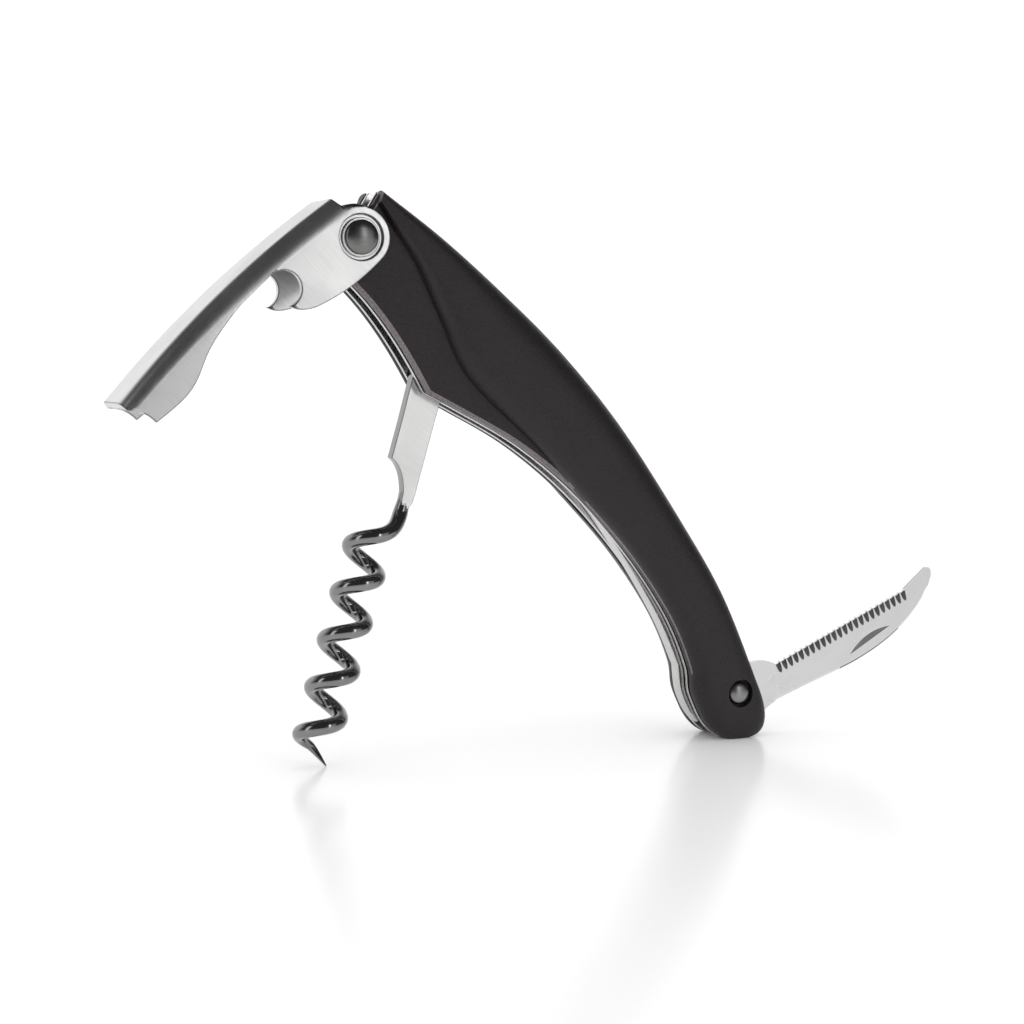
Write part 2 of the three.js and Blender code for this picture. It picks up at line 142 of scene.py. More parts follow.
def cut_sheet(name, outline, near, far):
    """A blank cut to an outline, from y = near to y = far."""
    start_fresh()
    bpy.ops.mesh.primitive_circle_add(vertices=len(outline), fill_type="NGON")
    blank = bpy.context.object
    blank.name = name
    blank.data.name = name
    for vertex, point in zip(blank.data.vertices, outline):
        vertex.co = placed(point[0], near, point[1])
    bpy.ops.object.mode_set(mode="EDIT")
    bpy.ops.mesh.select_all(action="SELECT")
    bpy.ops.mesh.extrude_region_move(TRANSFORM_OT_translate={"value": (0, (far - near) * MM, 0)})
    bpy.ops.mesh.select_all(action="SELECT")
    bpy.ops.mesh.normals_make_consistent(inside=False)
    bpy.ops.object.mode_set(mode="OBJECT")
    return settle()


def apply_modifier(piece, kind, **settings):
    start_fresh()
    piece.select_set(True)
    bpy.context.view_layer.objects.active = piece
    bpy.ops.object.modifier_add(type=kind)
    modifier = piece.modifiers[-1]
    for setting, value in settings.items():
        setattr(modifier, setting, value)
    bpy.ops.object.modifier_apply(modifier=modifier.name)


def combine(piece, other, how):
    """Cuts, joins or trims a piece with another one, which is used up."""
    apply_modifier(piece, "BOOLEAN", operation=how, object=other, solver="EXACT")
    bpy.data.objects.remove(other)


def drill(piece, centre, radius, near=-20, far=20, sides=48):
    middle = placed(centre[0], (near + far) / 2, centre[1])
    start_fresh()
    bpy.ops.mesh.primitive_cylinder_add(vertices=sides, radius=radius * MM, depth=(far - near) * MM,
                                        location=middle, rotation=(math.pi / 2, 0, 0))
    combine(piece, settle(), "DIFFERENCE")


def round_rims(piece, width, segments=3, angle=40):
    """Breaks every edge that turns by more than the angle."""
    apply_modifier(piece, "BEVEL", width=width * MM, segments=segments, limit_method="ANGLE",
                   angle_limit=math.radians(angle), use_clamp_overlap=False, harden_normals=False)


def smooth_faces(piece, angle=35):
    """Smooth shading that keeps flat faces flat and edges sharper than the angle crisp."""
    start_fresh()
    piece.select_set(True)
    bpy.context.view_layer.objects.active = piece
    bpy.ops.object.shade_smooth_by_angle(angle=math.radians(angle))
    apply_modifier(piece, "WEIGHTED_NORMAL", mode="FACE_AREA", weight=50, keep_sharp=True)


def handle_outline():
    tongue = arc(LEVER_PIVOT, TONGUE_RADIUS, 224, 62, 40)
    tail = bend(TAIL, 16)
    return chain(smooth(SPINE), tail, bend(HEEL), smooth(UNDERSIDE), bend(THROAT, 14), tongue)


def add_node(tree, kind, inputs=None, **settings):
    """A shader node, its inputs given as values or as the sockets that feed them."""
    made = tree.nodes.new(kind)
    for setting, value in settings.items():
        setattr(made, setting, value)
    for socket, value in (inputs or {}).items():
        if isinstance(value, bpy.types.NodeSocket):
            tree.links.new(value, made.inputs[socket])
        else:
            made.inputs[socket].default_value = value
    return made


def new_group(name, inputs, outputs):
    """An empty node group with number or vector sockets, given as name: (kind, value)."""
    tree = bpy.data.node_groups.new(name, "ShaderNodeTree")
    for title, (kind, value) in inputs.items():
        socket = tree.interface.new_socket(title, in_out="INPUT", socket_type=f"NodeSocket{kind}")
        if value is not None:
            socket.default_value = value
    for title in outputs:
        tree.interface.new_socket(title, in_out="OUTPUT", socket_type="NodeSocketFloat")
    return tree, tree.nodes.new("NodeGroupInput"), tree.nodes.new("NodeGroupOutput")


# Edge wear and shade: 1 on the rim of a piece, fading to 0 over the width, for worn rims and painted rim
# shade.
edge_wear_and_shade, given, wanted = new_group(
    "edge_wear_and_shade", {"Width": ("Float", 0.0003), "Gain": ("Float", 4.0)}, ["Mask"])
rounded = add_node(edge_wear_and_shade, "ShaderNodeBevel", {"Radius": given.outputs["Width"]}, samples=4)
facing = add_node(edge_wear_and_shade, "ShaderNodeNewGeometry")
same = add_node(edge_wear_and_shade, "ShaderNodeVectorMath", {0: rounded.outputs[0], 1: facing.outputs["Normal"]},
                operation="DOT_PRODUCT")
turned_away = add_node(edge_wear_and_shade, "ShaderNodeMath", {0: 1.0, 1: same.outputs["Value"]}, operation="SUBTRACT")
wear_and_shade_mask = add_node(edge_wear_and_shade, "ShaderNodeMath", {0: turned_away.outputs[0], 1: given.outputs["Gain"]},
                operation="MULTIPLY", use_clamp=True)
edge_wear_and_shade.links.new(wear_and_shade_mask.outputs[0], wanted.inputs["Mask"])

# Brushing: fine lines along the coordinates' X axis, with a few longer scratches.
brushing, given, wanted = new_group(
    "brushing", {"Place": ("Vector", None), "Fineness": ("Float", 9000.0)}, ["Lines", "Scratches"])
drawn_out = add_node(brushing, "ShaderNodeVectorMath", {0: given.outputs["Place"], 1: (0.015, 1, 1)},
                     operation="MULTIPLY")
lines = add_node(brushing, "ShaderNodeTexNoise",
                 {"Vector": drawn_out.outputs[0], "Scale": given.outputs["Fineness"], "Detail": 5.0,
                  "Roughness": 0.65})
long_marks = add_node(brushing, "ShaderNodeVectorMath", {0: given.outputs["Place"], 1: (0.05, 1, 1)},
                      operation="MULTIPLY")
marks = add_node(brushing, "ShaderNodeTexNoise",
                 {"Vector": long_marks.outputs[0], "Scale": 2600.0, "Detail": 2.0, "Roughness": 0.5})
few = add_node(brushing, "ShaderNodeMapRange",
               {"Value": marks.outputs["Fac"], "From Min": 0.66, "From Max": 0.74})
brushing.links.new(lines.outputs["Fac"], wanted.inputs["Lines"])
brushing.links.new(few.outputs["Result"], wanted.inputs["Scratches"])

# Handling: broad uneven patches where fingers and a cloth have dulled or polished the surface.
handling, given, wanted = new_group(
    "handling", {"Place": ("Vector", None), "Patches": ("Float", 120.0)}, ["Patches", "Specks"])
patches = add_node(handling, "ShaderNodeTexNoise",
                   {"Vector": given.outputs["Place"], "Scale": given.outputs["Patches"], "Detail": 3.0,
                    "Roughness": 0.55, "Distortion": 0.4})
specks = add_node(handling, "ShaderNodeTexNoise",
                  {"Vector": given.outputs["Place"], "Scale": 5200.0, "Detail": 2.0})
handling.links.new(patches.outputs["Fac"], wanted.inputs["Patches"])
handling.links.new(specks.outputs["Fac"], wanted.inputs["Specks"])


def steel(name, tone, roughness, turn=(0, 0, 0), line_height=0.000004, fineness=9000.0, patch_tone=0.05,
          line_tone=0.08, wear_and_shade_tone=0.12, wear_and_shade_width=0.00025):
    """Bare steel whose brushed lines run along X after the turn."""
    made = bpy.data.materials.new(name)
    made.use_nodes = True
    tree = made.node_tree
    shader = tree.nodes["Principled BSDF"]
    place = add_node(tree, "ShaderNodeTexCoord")
    turned_place = add_node(tree, "ShaderNodeMapping", {"Vector": place.outputs["Object"], "Rotation": turn})
    brush = add_node(tree, "ShaderNodeGroup", node_tree=brushing)
    tree.links.new(turned_place.outputs[0], brush.inputs["Place"])
    brush.inputs["Fineness"].default_value = fineness
    touch = add_node(tree, "ShaderNodeGroup", node_tree=handling)
    tree.links.new(place.outputs["Object"], touch.inputs["Place"])
    rim = add_node(tree, "ShaderNodeGroup", node_tree=edge_wear_and_shade)
    rim.inputs["Width"].default_value = wear_and_shade_width

    uneven = add_node(tree, "ShaderNodeMapRange", {"Value": touch.outputs["Patches"], "From Min": 0.3,
                                                   "From Max": 0.7, "To Min": 1 - patch_tone, "To Max": 1.0})
    lined = add_node(tree, "ShaderNodeMapRange", {"Value": brush.outputs["Lines"], "From Min": 0.3,
                                                  "From Max": 0.7, "To Min": 1 - line_tone, "To Max": 1.0})
    shade = add_node(tree, "ShaderNodeMath", {0: uneven.outputs[0], 1: lined.outputs[0]},
                     operation="MULTIPLY")
    colour = add_node(tree, "ShaderNodeMix", {0: shade.outputs[0], 6: (0, 0, 0, 1), 7: (*tone, 1)},
                      data_type="RGBA")
    # Rims take the tone shifted by the rim setting: lighter where worn, and darker where a negative shift
    # paints shade on them.
    rim_tone = tuple(min(1, channel + wear_and_shade_tone) for channel in tone)
    finished = add_node(tree, "ShaderNodeMix",
                        {0: rim.outputs["Mask"], 6: colour.outputs[2], 7: (*rim_tone, 1)}, data_type="RGBA")
    tree.links.new(finished.outputs[2], shader.inputs["Base Color"])

    dulled = add_node(tree, "ShaderNodeMapRange",
                      {"Value": touch.outputs["Patches"], "From Min": 0.3, "From Max": 0.7,
                       "To Min": roughness * 0.85, "To Max": roughness * 1.15})
    scratched = add_node(tree, "ShaderNodeMath",
                         {0: brush.outputs["Scratches"], 1: SCRATCH_DULLING, 2: dulled.outputs[0]},
                         operation="MULTIPLY_ADD")
    tree.links.new(scratched.outputs[0], shader.inputs["Roughness"])

    grooves = add_node(tree, "ShaderNodeBump", {"Height": brush.outputs["Lines"], "Distance": line_height,
                                                "Strength": 1.0})
    tree.links.new(grooves.outputs[0], shader.inputs["Normal"])
    shader.inputs["Metallic"].default_value = 1.0
    return made


def give(piece, material):
    """The piece's only material."""
    piece.data.materials.clear()
    piece.data.materials.append(material)


plain_steel = steel("plain_steel", (0.62, 0.615, 0.61), 0.24, turn=(0, math.radians(-50), 0))

for side, node in ((-1, "front_liner"), (1, "rear_liner")):
    liner = cut_sheet(f"{node}_plate", handle_outline(), side * LINER_IN, side * LINER_OUT)
    round_rims(liner, 0.12, 2, 60)
    for pin in (DRAWN_WORM_PIVOT, KNIFE_PIVOT, SPRING_PIN, *SPACER_PINS):
        drill(liner, pin, PIN_HOLE)
    drill(liner, LEVER_PIVOT, RIVET_HOLE)
    smooth_faces(liner)
    give(liner, plain_steel)
    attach(liner, "handle")
    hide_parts(node)


# ---- Frame pins ----
# Plain turned steel pins, flush with the liners. They space the frame and carry the spring and the worm.
# They are pressed in, and only their shanks show in the channel.

for node in ("spring_pin", "head_spacer_pin", "mid_spacer_pin", "worm_pin"):
    give(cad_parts[node], plain_steel)


# ---- Back spring ----
# A bar of hardened spring steel between the liners, ground on both edges.
# One end bears on the worm's tang, and the other on the knife's tang.

SPRING_HALF = 1.3
spring_lower = smooth([(-10.9, 70.2), (-3.6, 63.4), (3.8, 55.6), (12.6, 45.2), (21, 34.1), (28.2, 22.6),
                       (32.4, 13.6)])
SPRING_HEEL_CORNER = (38.1, 4.4)
spring_heel = smooth([(32.4, 13.6), (33, 9), (34.7, 5.2), (36.6, 2.8)])
spring_upper = smooth([(38.2, 8.5), (35.6, 16), (30.4, 26.8), (20.6, 41.4), (10.4, 54.6), (-0.4, 66.6),
                       (-9.6, 73.6)])
spring_outline = chain(spring_lower, spring_heel, [SPRING_HEEL_CORNER], spring_upper)
back_spring = cut_sheet("back_spring_bar", spring_outline, -SPRING_HALF, SPRING_HALF)
round_rims(back_spring, 0.2, 3, 60)
drill(back_spring, SPRING_PIN, PIN_HOLE)
smooth_faces(back_spring)
give(back_spring, plain_steel)
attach(back_spring, "handle")
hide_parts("back_spring")


# ---- Spine spacer ----
# A filler of black nylon along the spine, from the head to the start of the blade's slot.
# It is moulded, and two pins hold it between the liners.


def moulded(name, tone, roughness, grain_height, wear_and_shade_tone):
    """Moulded plastic with a fine spark-eroded grain and rims rubbed a little smoother."""
    made = bpy.data.materials.new(name)
    made.use_nodes = True
    tree = made.node_tree
    shader = tree.nodes["Principled BSDF"]
    place = add_node(tree, "ShaderNodeTexCoord")
    touch = add_node(tree, "ShaderNodeGroup", node_tree=handling)
    tree.links.new(place.outputs["Object"], touch.inputs["Place"])
    rim = add_node(tree, "ShaderNodeGroup", node_tree=edge_wear_and_shade)
    rim.inputs["Width"].default_value = 0.0004
    rim.inputs["Gain"].default_value = 2.5
    pits = tuple(channel * 0.7 for channel in tone)
    peaks = tuple(channel * 1.7 for channel in tone)
    speckled = add_node(tree, "ShaderNodeMapRange",
                        {"Value": touch.outputs["Specks"], "From Min": 0.35, "From Max": 0.65})
    uneven = add_node(tree, "ShaderNodeMix", {0: speckled.outputs["Result"], 6: (*pits, 1), 7: (*peaks, 1)},
                      data_type="RGBA")
    rubbed = tuple(channel + wear_and_shade_tone for channel in tone)
    finished = add_node(tree, "ShaderNodeMix",
                        {0: rim.outputs["Mask"], 6: uneven.outputs[2], 7: (*rubbed, 1)}, data_type="RGBA")
    tree.links.new(finished.outputs[2], shader.inputs["Base Color"])
    dulled = add_node(tree, "ShaderNodeMapRange",
                      {"Value": touch.outputs["Patches"], "From Min": 0.3, "From Max": 0.7,
                       "To Min": roughness - 0.04, "To Max": roughness + 0.04})
    polished = add_node(tree, "ShaderNodeMath", {0: rim.outputs["Mask"], 1: -0.08, 2: dulled.outputs[0]},
                        operation="MULTIPLY_ADD")
    tree.links.new(polished.outputs[0], shader.inputs["Roughness"])
    grain = add_node(tree, "ShaderNodeTexNoise",
                     {"Vector": place.outputs["Object"], "Scale": 2800.0, "Detail": 3.0, "Roughness": 0.6})
    raised = add_node(tree, "ShaderNodeBump", {"Height": grain.outputs["Fac"], "Distance": grain_height,
                                               "Strength": 1.0})
    tree.links.new(raised.outputs[0], shader.inputs["Normal"])
    shader.inputs["Specular IOR Level"].default_value = 0.35
    return made


black_nylon = moulded("black_nylon", (0.016, 0.0155, 0.016), 0.5, 0.00001, 0.01)

SPACER_HALF = 1.3
spacer_top = smooth([(-25.2, 96.5), (-15.2, 89.3), (-4.3, 80.4), (6.6, 70.4)])
spacer_bottom = smooth([(3, 68.6), (-5.6, 76.4), (-16, 84), (-22.4, 88.6)])
spine_spacer = cut_sheet("spine_spacer_strip", chain(spacer_top, spacer_bottom), -SPACER_HALF, SPACER_HALF)
round_rims(spine_spacer, 0.25, 3, 60)
for pin in SPACER_PINS:
    drill(spine_spacer, pin, PIN_HOLE)
smooth_faces(spine_spacer)
give(spine_spacer, black_nylon)
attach(spine_spacer, "handle")
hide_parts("spine_spacer")


# ---- Worm ----
# A flat ground shank forged down to a round wire, which is coiled in an open right-handed helix.
# The wire is polished, its last turn is drawn to a point, and the shank turns on its pin.

WORM_LEAN = math.radians(16.2)
WORM_PITCH = 8.32
WORM_TURNS = 4.78
WORM_TIP = (3.2, 0.6, 70.85)
WIRE_RADIUS = 1.35
COIL_RADIUS = 3.05
SHANK_HALF = 1.1
SHANK_OFFSET = 2.65
PIVOT_TO_COIL = 28.65
WIRE_FROM = PIVOT_TO_COIL - 9
NECK_FROM = PIVOT_TO_COIL - 3.5
NECK_OFFSET = 4.2
NECK_TURN = 0.25
TAPER_LENGTH = 12
TANG = 3.3
SWELL_FROM = 2.5
SWELL_LENGTH = 4.5
THINNEST_AT_SHANK = 0.75
TIP_SHARE = 0.08
WIRE_POINTS = 340
BRUSHED_LENGTH = PIVOT_TO_COIL - 3.8


def from_worm_pivot(sideways, down):
    """A drawing point, from its distances across and along the worm."""
    side = Vector((math.cos(WORM_LEAN), -math.sin(WORM_LEAN)))
    along = Vector((-math.sin(WORM_LEAN), -math.cos(WORM_LEAN)))
    return Vector(DRAWN_WORM_PIVOT) + sideways * side + down * along


shank_left = -0.3 - SHANK_OFFSET
shank_right = 5.6 - SHANK_OFFSET
shank_end = PIVOT_TO_COIL - 6.5
notch = [(shank_right - 2.3, shank_end), (shank_left + 2.4, PIVOT_TO_COIL - 10.6),
         (shank_left, PIVOT_TO_COIL - 11.4)]
around_pin = [(p.x, -p.y) for p in arc((0, 0), TANG, 162, 18, 30)]
shank_foot = [(shank_right, shank_end), (shank_right - 0.1, shank_end + 1.6),
              (shank_right - 0.7, shank_end + 2.8), (shank_right - 1.8, shank_end + 2.8),
              (shank_right - 2.2, shank_end + 1.6)]
shank_outline = chain(around_pin, [(shank_right, 10)], shank_foot, bend(notch), [(shank_left, 10)])
worm = cut_sheet("worm_forging", [from_worm_pivot(*p) for p in shank_outline], -SHANK_HALF, SHANK_HALF)
round_rims(worm, 0.12, 2, 40)
drill(worm, DRAWN_WORM_PIVOT, PIN_HOLE)


def along_line(line, count):
    """Points at even distances along a line."""
    lengths = [0]
    for a, b in zip(line, line[1:]):
        lengths.append(lengths[-1] + (b - a).length)
    points = []
    index = 0
    for i in range(count):
        wanted_length = lengths[-1] * i / (count - 1)
        while index < len(line) - 2 and lengths[index + 1] < wanted_length:
            index += 1
        share = (wanted_length - lengths[index]) / (lengths[index + 1] - lengths[index])
        points.append(line[index].lerp(line[index + 1], min(max(share, 0), 1)))
    return points


def on_coil(turn, radius, down):
    """A point of the wire: across the worm, through its thickness, and down its axis."""
    angle = turn * 2 * math.pi
    return Vector((radius * math.cos(angle), -radius * math.sin(angle), down))


# The wire runs straight out of the shank, eases into the coil, and ends in a straight tip.
STEPS_PER_TURN = 24
NECK_STEPS = 8
drop = PIVOT_TO_COIL + NECK_TURN * WORM_PITCH - NECK_FROM
last_slope = 2 * NECK_TURN * WORM_PITCH
route = [Vector((NECK_OFFSET, 0, WIRE_FROM)), Vector((NECK_OFFSET, 0, NECK_FROM))]
for step in range(1, NECK_STEPS + 1):
    t = step / NECK_STEPS
    swing = COIL_RADIUS + (NECK_OFFSET - COIL_RADIUS) * (1 - t * t * (3 - 2 * t))
    down = NECK_FROM + (2 * drop - last_slope) * t + (last_slope - drop) * t * t
    route.append(on_coil(NECK_TURN * t * t, swing, down))
coil_steps = round((WORM_TURNS - NECK_TURN) * STEPS_PER_TURN)
for step in range(1, coil_steps + 1):
    turn = NECK_TURN + (WORM_TURNS - NECK_TURN) * step / coil_steps
    route.append(on_coil(turn, COIL_RADIUS, PIVOT_TO_COIL + turn * WORM_PITCH))
route.append(route[-1].lerp(Vector(WORM_TIP), 0.5) + Vector((0.15, 0.2, 0)))
route.append(Vector(WORM_TIP))
route = along_line(smooth(route, 6), WIRE_POINTS)

start_fresh()
bpy.ops.curve.primitive_nurbs_path_add()
wire = bpy.context.object
wire.data.splines.clear()
spline = wire.data.splines.new("POLY")
spline.points.add(len(route) - 1)
wire_length = sum((b - a).length for a, b in zip(route, route[1:]))
gone = 0
for i, (point, centre) in enumerate(zip(spline.points, route)):
    gone += (centre - route[max(i - 1, 0)]).length
    swelling = min(1, max(0, (gone - SWELL_FROM) / SWELL_LENGTH))
    thinning = 1 - min(1, (wire_length - gone) / TAPER_LENGTH)
    drawn = from_worm_pivot(centre.x - SHANK_OFFSET, centre.z)
    point.co = (*placed(drawn.x, centre.y, drawn.y), 1)
    full_share = THINNEST_AT_SHANK + (1 - THINNEST_AT_SHANK) * swelling ** 2 * (3 - 2 * swelling)
    point.radius = full_share * (1 - (1 - TIP_SHARE) * thinning ** 1.6)
wire.data.bevel_depth = WIRE_RADIUS * MM
wire.data.bevel_resolution = 6
wire.data.use_fill_caps = True
bpy.ops.object.convert(target="MESH")
combine(worm, settle(), "UNION")
smooth_faces(worm, 50)

# The wire's steel is toned darker than bare steel, partly its own polished colour and partly painted dark
# reflection.
dark_polished = steel("dark_polished", (0.3, 0.297, 0.295), 0.13, line_height=0.0000015, fineness=14000.0,
                      line_tone=0.25, patch_tone=0.15, wear_and_shade_tone=0.1, wear_and_shade_width=0.0002)
# The shank's rims are made much darker than its faces: painted shade on the rims.
shank_steel = steel("brushed_shank", (0.72, 0.715, 0.71), 0.3, turn=(0, math.radians(-40), 0), line_tone=0.16,
                    wear_and_shade_tone=-0.5)
give(worm, dark_polished)
worm.data.materials.append(shank_steel)
pin_centre = placed(DRAWN_WORM_PIVOT[0], 0, DRAWN_WORM_PIVOT[1])
for face in worm.data.polygons:
    above_wire = (face.center - pin_centre).length < BRUSHED_LENGTH * MM
    on_flat = abs(face.normal.y) > 0.9 and abs(abs(face.center.y) - SHANK_HALF * MM) < 0.01 * MM
    if on_flat and above_wire:
        face.material_index = 1
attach(worm, "worm")
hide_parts("worm")


# ---- Knife ----
# A short foil cutter of thin stainless sheet, ground on its front side, with a toothed edge on top.
# Its round tang turns on the tail rivet between two steel washers.

BLADE_HALF = 0.5
TANG_RADIUS = 4.2
TEETH = 24
TOOTH_DEPTH = 0.45
EDGE_FROM = Vector((53.4, 12.5))
EDGE_TO = Vector((82, 25.2))
GULLET_RADIUS = 0.52
GULLET_LENGTH = 2.3
GULLET_DEPTH = 0.95
WHEEL_REACH = 0.8
BACK_BEVEL = 0.55
SHOULDER_STEP = 0.07


def drawn_at(place):
    """The drawing point, in millimetres, of a place in the row frame."""
    return Vector((place.x / MM - SHIFT_X, place.z / MM - SHIFT_Z))


def edge_over(point):
    """The point of the toothed edge straight above or below a drawing point."""
    return EDGE_FROM.lerp(EDGE_TO, (point.x - EDGE_FROM.x) / (EDGE_TO - EDGE_FROM).x)


teeth = []
for i in range(TEETH):
    root = EDGE_FROM.lerp(EDGE_TO, (i + 0.5) / TEETH) + Vector((TOOTH_DEPTH, -2 * TOOTH_DEPTH))
    teeth += bend([EDGE_FROM.lerp(EDGE_TO, i / TEETH), root, EDGE_FROM.lerp(EDGE_TO, (i + 1) / TEETH)], 4)
blade_back = smooth([(87.95, 27.4), (85.8, 22.6), (80.1, 16.9), (71.9, 12.2), (61, 8.2), (53.3, 5.3),
                     (51, 3.7)])
blade_outline = chain(
    arc(KNIFE_PIVOT, TANG_RADIUS, -70, -280, 40), bend([(49.2, 13.3), (51.4, 13.6), EDGE_FROM]), teeth,
    bend([(86.9, 29.2), (88.1, 29.35), (87.95, 27.4)], 6), blade_back)
blade = cut_sheet("knife_blade_ground", blade_outline, -BLADE_HALF, BLADE_HALF)

# The back of the blade is bevelled on the front side.
bpy.ops.object.mode_set(mode="EDIT")
bpy.ops.mesh.select_mode(type="EDGE")
bpy.ops.mesh.select_all(action="DESELECT")
bpy.ops.object.mode_set(mode="OBJECT")
back_from, back_to = placed(54, 0, 0).x, placed(88.2, 0, 0).x
for edge in blade.data.edges:
    ends = [blade.data.vertices[v].co for v in edge.vertices]
    on_front = all(abs(end.y + BLADE_HALF * MM) < 0.01 * MM for end in ends)
    middle = (ends[0] + ends[1]) / 2
    drawn = drawn_at(middle)
    below_edge = drawn.y < edge_over(drawn).y - 2
    edge.select = on_front and back_from < middle.x < back_to and below_edge
bpy.ops.object.mode_set(mode="EDIT")
bpy.ops.mesh.bevel(offset=BACK_BEVEL * MM, segments=1, clamp_overlap=False)
bpy.ops.object.mode_set(mode="OBJECT")

# Each gullet is ground in at a slant, deepest at the edge.
edge_direction = (EDGE_TO - EDGE_FROM).normalized()
inward = Vector((edge_direction.y, -edge_direction.x))
wheels = []
for i in range(TEETH):
    mouth = EDGE_FROM.lerp(EDGE_TO, (i + 0.5) / TEETH) - WHEEL_REACH * inward
    heel = mouth + (GULLET_LENGTH + WHEEL_REACH) * inward
    top = placed(mouth.x, -BLADE_HALF - GULLET_RADIUS + GULLET_DEPTH, mouth.y)
    bottom = placed(heel.x, -BLADE_HALF - GULLET_RADIUS, heel.y)
    slant = top - bottom
    start_fresh()
    bpy.ops.mesh.primitive_cylinder_add(vertices=32, radius=GULLET_RADIUS * MM, depth=slant.length * 1.4,
                                        location=(top + bottom) / 2,
                                        rotation=slant.to_track_quat("Z", "Y").to_euler())
    wheels.append(settle())
start_fresh()
for wheel in wheels:
    wheel.select_set(True)
bpy.context.view_layer.objects.active = wheels[0]
bpy.ops.object.join()
apply_modifier(blade, "BOOLEAN", operation="DIFFERENCE", object=wheels[0], solver="EXACT", use_self=True)
bpy.data.objects.remove(wheels[0])

# The nail nick is a crescent in the front, deepest along its curved side.
NICK_FROM = Vector((69.3, 12.5))
NICK_TO = Vector((79.6, 18.4))
nick = cut_sheet("nick", chain(bend([NICK_FROM, (73, 18.3), NICK_TO], 14)), -2, -0.2)
nick_line = (NICK_TO - NICK_FROM).normalized()
for vertex in nick.data.vertices:
    if vertex.co.y > -1 * MM:
        from_line = drawn_at(vertex.co) - NICK_FROM
        vertex.co.y = (-0.55 + 0.3 * abs(from_line.cross(nick_line))) * MM
combine(blade, nick, "DIFFERENCE")

# The tang is left at full thickness, so a low shoulder runs across the blade in front of it.
shoulder_cut = cut_sheet("shoulder", [(53.2, 12.2), (54.6, 5.4), (60, 2), (92, 20), (92, 34), (80, 32)],
                         -2, -BLADE_HALF + SHOULDER_STEP)
combine(blade, shoulder_cut, "DIFFERENCE")
drill(blade, KNIFE_PIVOT, PIN_HOLE)
smooth_faces(blade, 14)

satin_blade = steel("satin_blade", (0.78, 0.778, 0.775), 0.3, turn=(0, math.radians(62), 0), line_tone=0.06,
                    line_height=0.000003)
# The gullets and the nail nick take a dark steel: painted shade in the hollows.
hollow_shade_steel = steel("hollow_shade_steel", (0.19, 0.188, 0.186), 0.35, line_tone=0.15)
give(blade, satin_blade)
blade.data.materials.append(hollow_shade_steel)
for face in blade.data.polygons:
    place = drawn_at(face.center)
    line = edge_over(place)
    in_gullet = EDGE_FROM.x < place.x < EDGE_TO.x + 0.3 and line.y - 3.4 < place.y < line.y + 0.3
    in_nick = 68 < place.x < 81 and place.y < line.y - 2 and face.center.y > -0.42 * MM
    if -0.985 < face.normal.y < -0.05 and (in_gullet or in_nick):
        face.material_index = 1
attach(blade, "knife")
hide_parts("knife_blade")

for node in ("front_knife_washer", "rear_knife_washer"):
    give(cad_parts[node], plain_steel)


# ---- Scales ----
# Two handle scales moulded in black nylon, flat at the head, where the lever's cheeks pass over them.
# A crowned grip rises from a step line. Each is fixed by the lever's rivet and the tail rivet.

SCALE_IN = 2.7
RECESS_FACE = 4.7
TAIL_RECESS = 2.6
TAIL_RECESS_FLOOR = 5
STEP_LINE = [(-26.6, 95.2), (-24.2, 91.4), (-20, 85.3), (-15.6, 76), (-10.3, 65.8), (2.4, 54.1),
             (10.5, 45.8), (20.9, 34.6), (29, 23.2), (33.2, 14), (34, 9), (35.8, 4.8)]
GRIP_FOOT = 3.2
GRIP_SEAM = GRIP_FOOT + 0.6
SCALE_RIM = 0.85
STATIONS = 150
ACROSS = 30
TAIL_ROUNDING_FROM = 0.965


def grip_height(along):
    """Half thickness of the grip at the middle of its width."""
    belly = math.sin(math.pi * along ** 0.85)
    ending = max(0, (along - TAIL_ROUNDING_FROM) / (1 - TAIL_ROUNDING_FROM))
    rounding = math.sqrt(max(0, 1 - ending ** 2))
    return RECESS_FACE + 0.15 + (1.25 + 1.9 * belly - 0.5 * along ** 24) * rounding


def crown(across):
    """Share of the rise, from 0 at either side of the grip to 1 over its middle."""
    out = abs(2 * across - 1)
    if across < 0.5:
        return (1 - out ** 4.5) ** 0.55
    return (1 - out ** 3) ** 0.5


low_side = along_line(chain(smooth(STEP_LINE, 12), bend(HEEL[::-1])), STATIONS)
high_side = along_line(chain(smooth(SPINE, 12), bend(TAIL, 16)), STATIONS)

black_scale = moulded("black_scale", (0.0115, 0.0082, 0.009), 0.38, 0.0001, 0.02)
# A pale pinkish grey for the lower rim of the grip: a painted reflection of the white table on the black
# nylon.
underside_reflection = moulded("underside_reflection", (0.13, 0.112, 0.117), 0.25, 0.00001, 0.02)

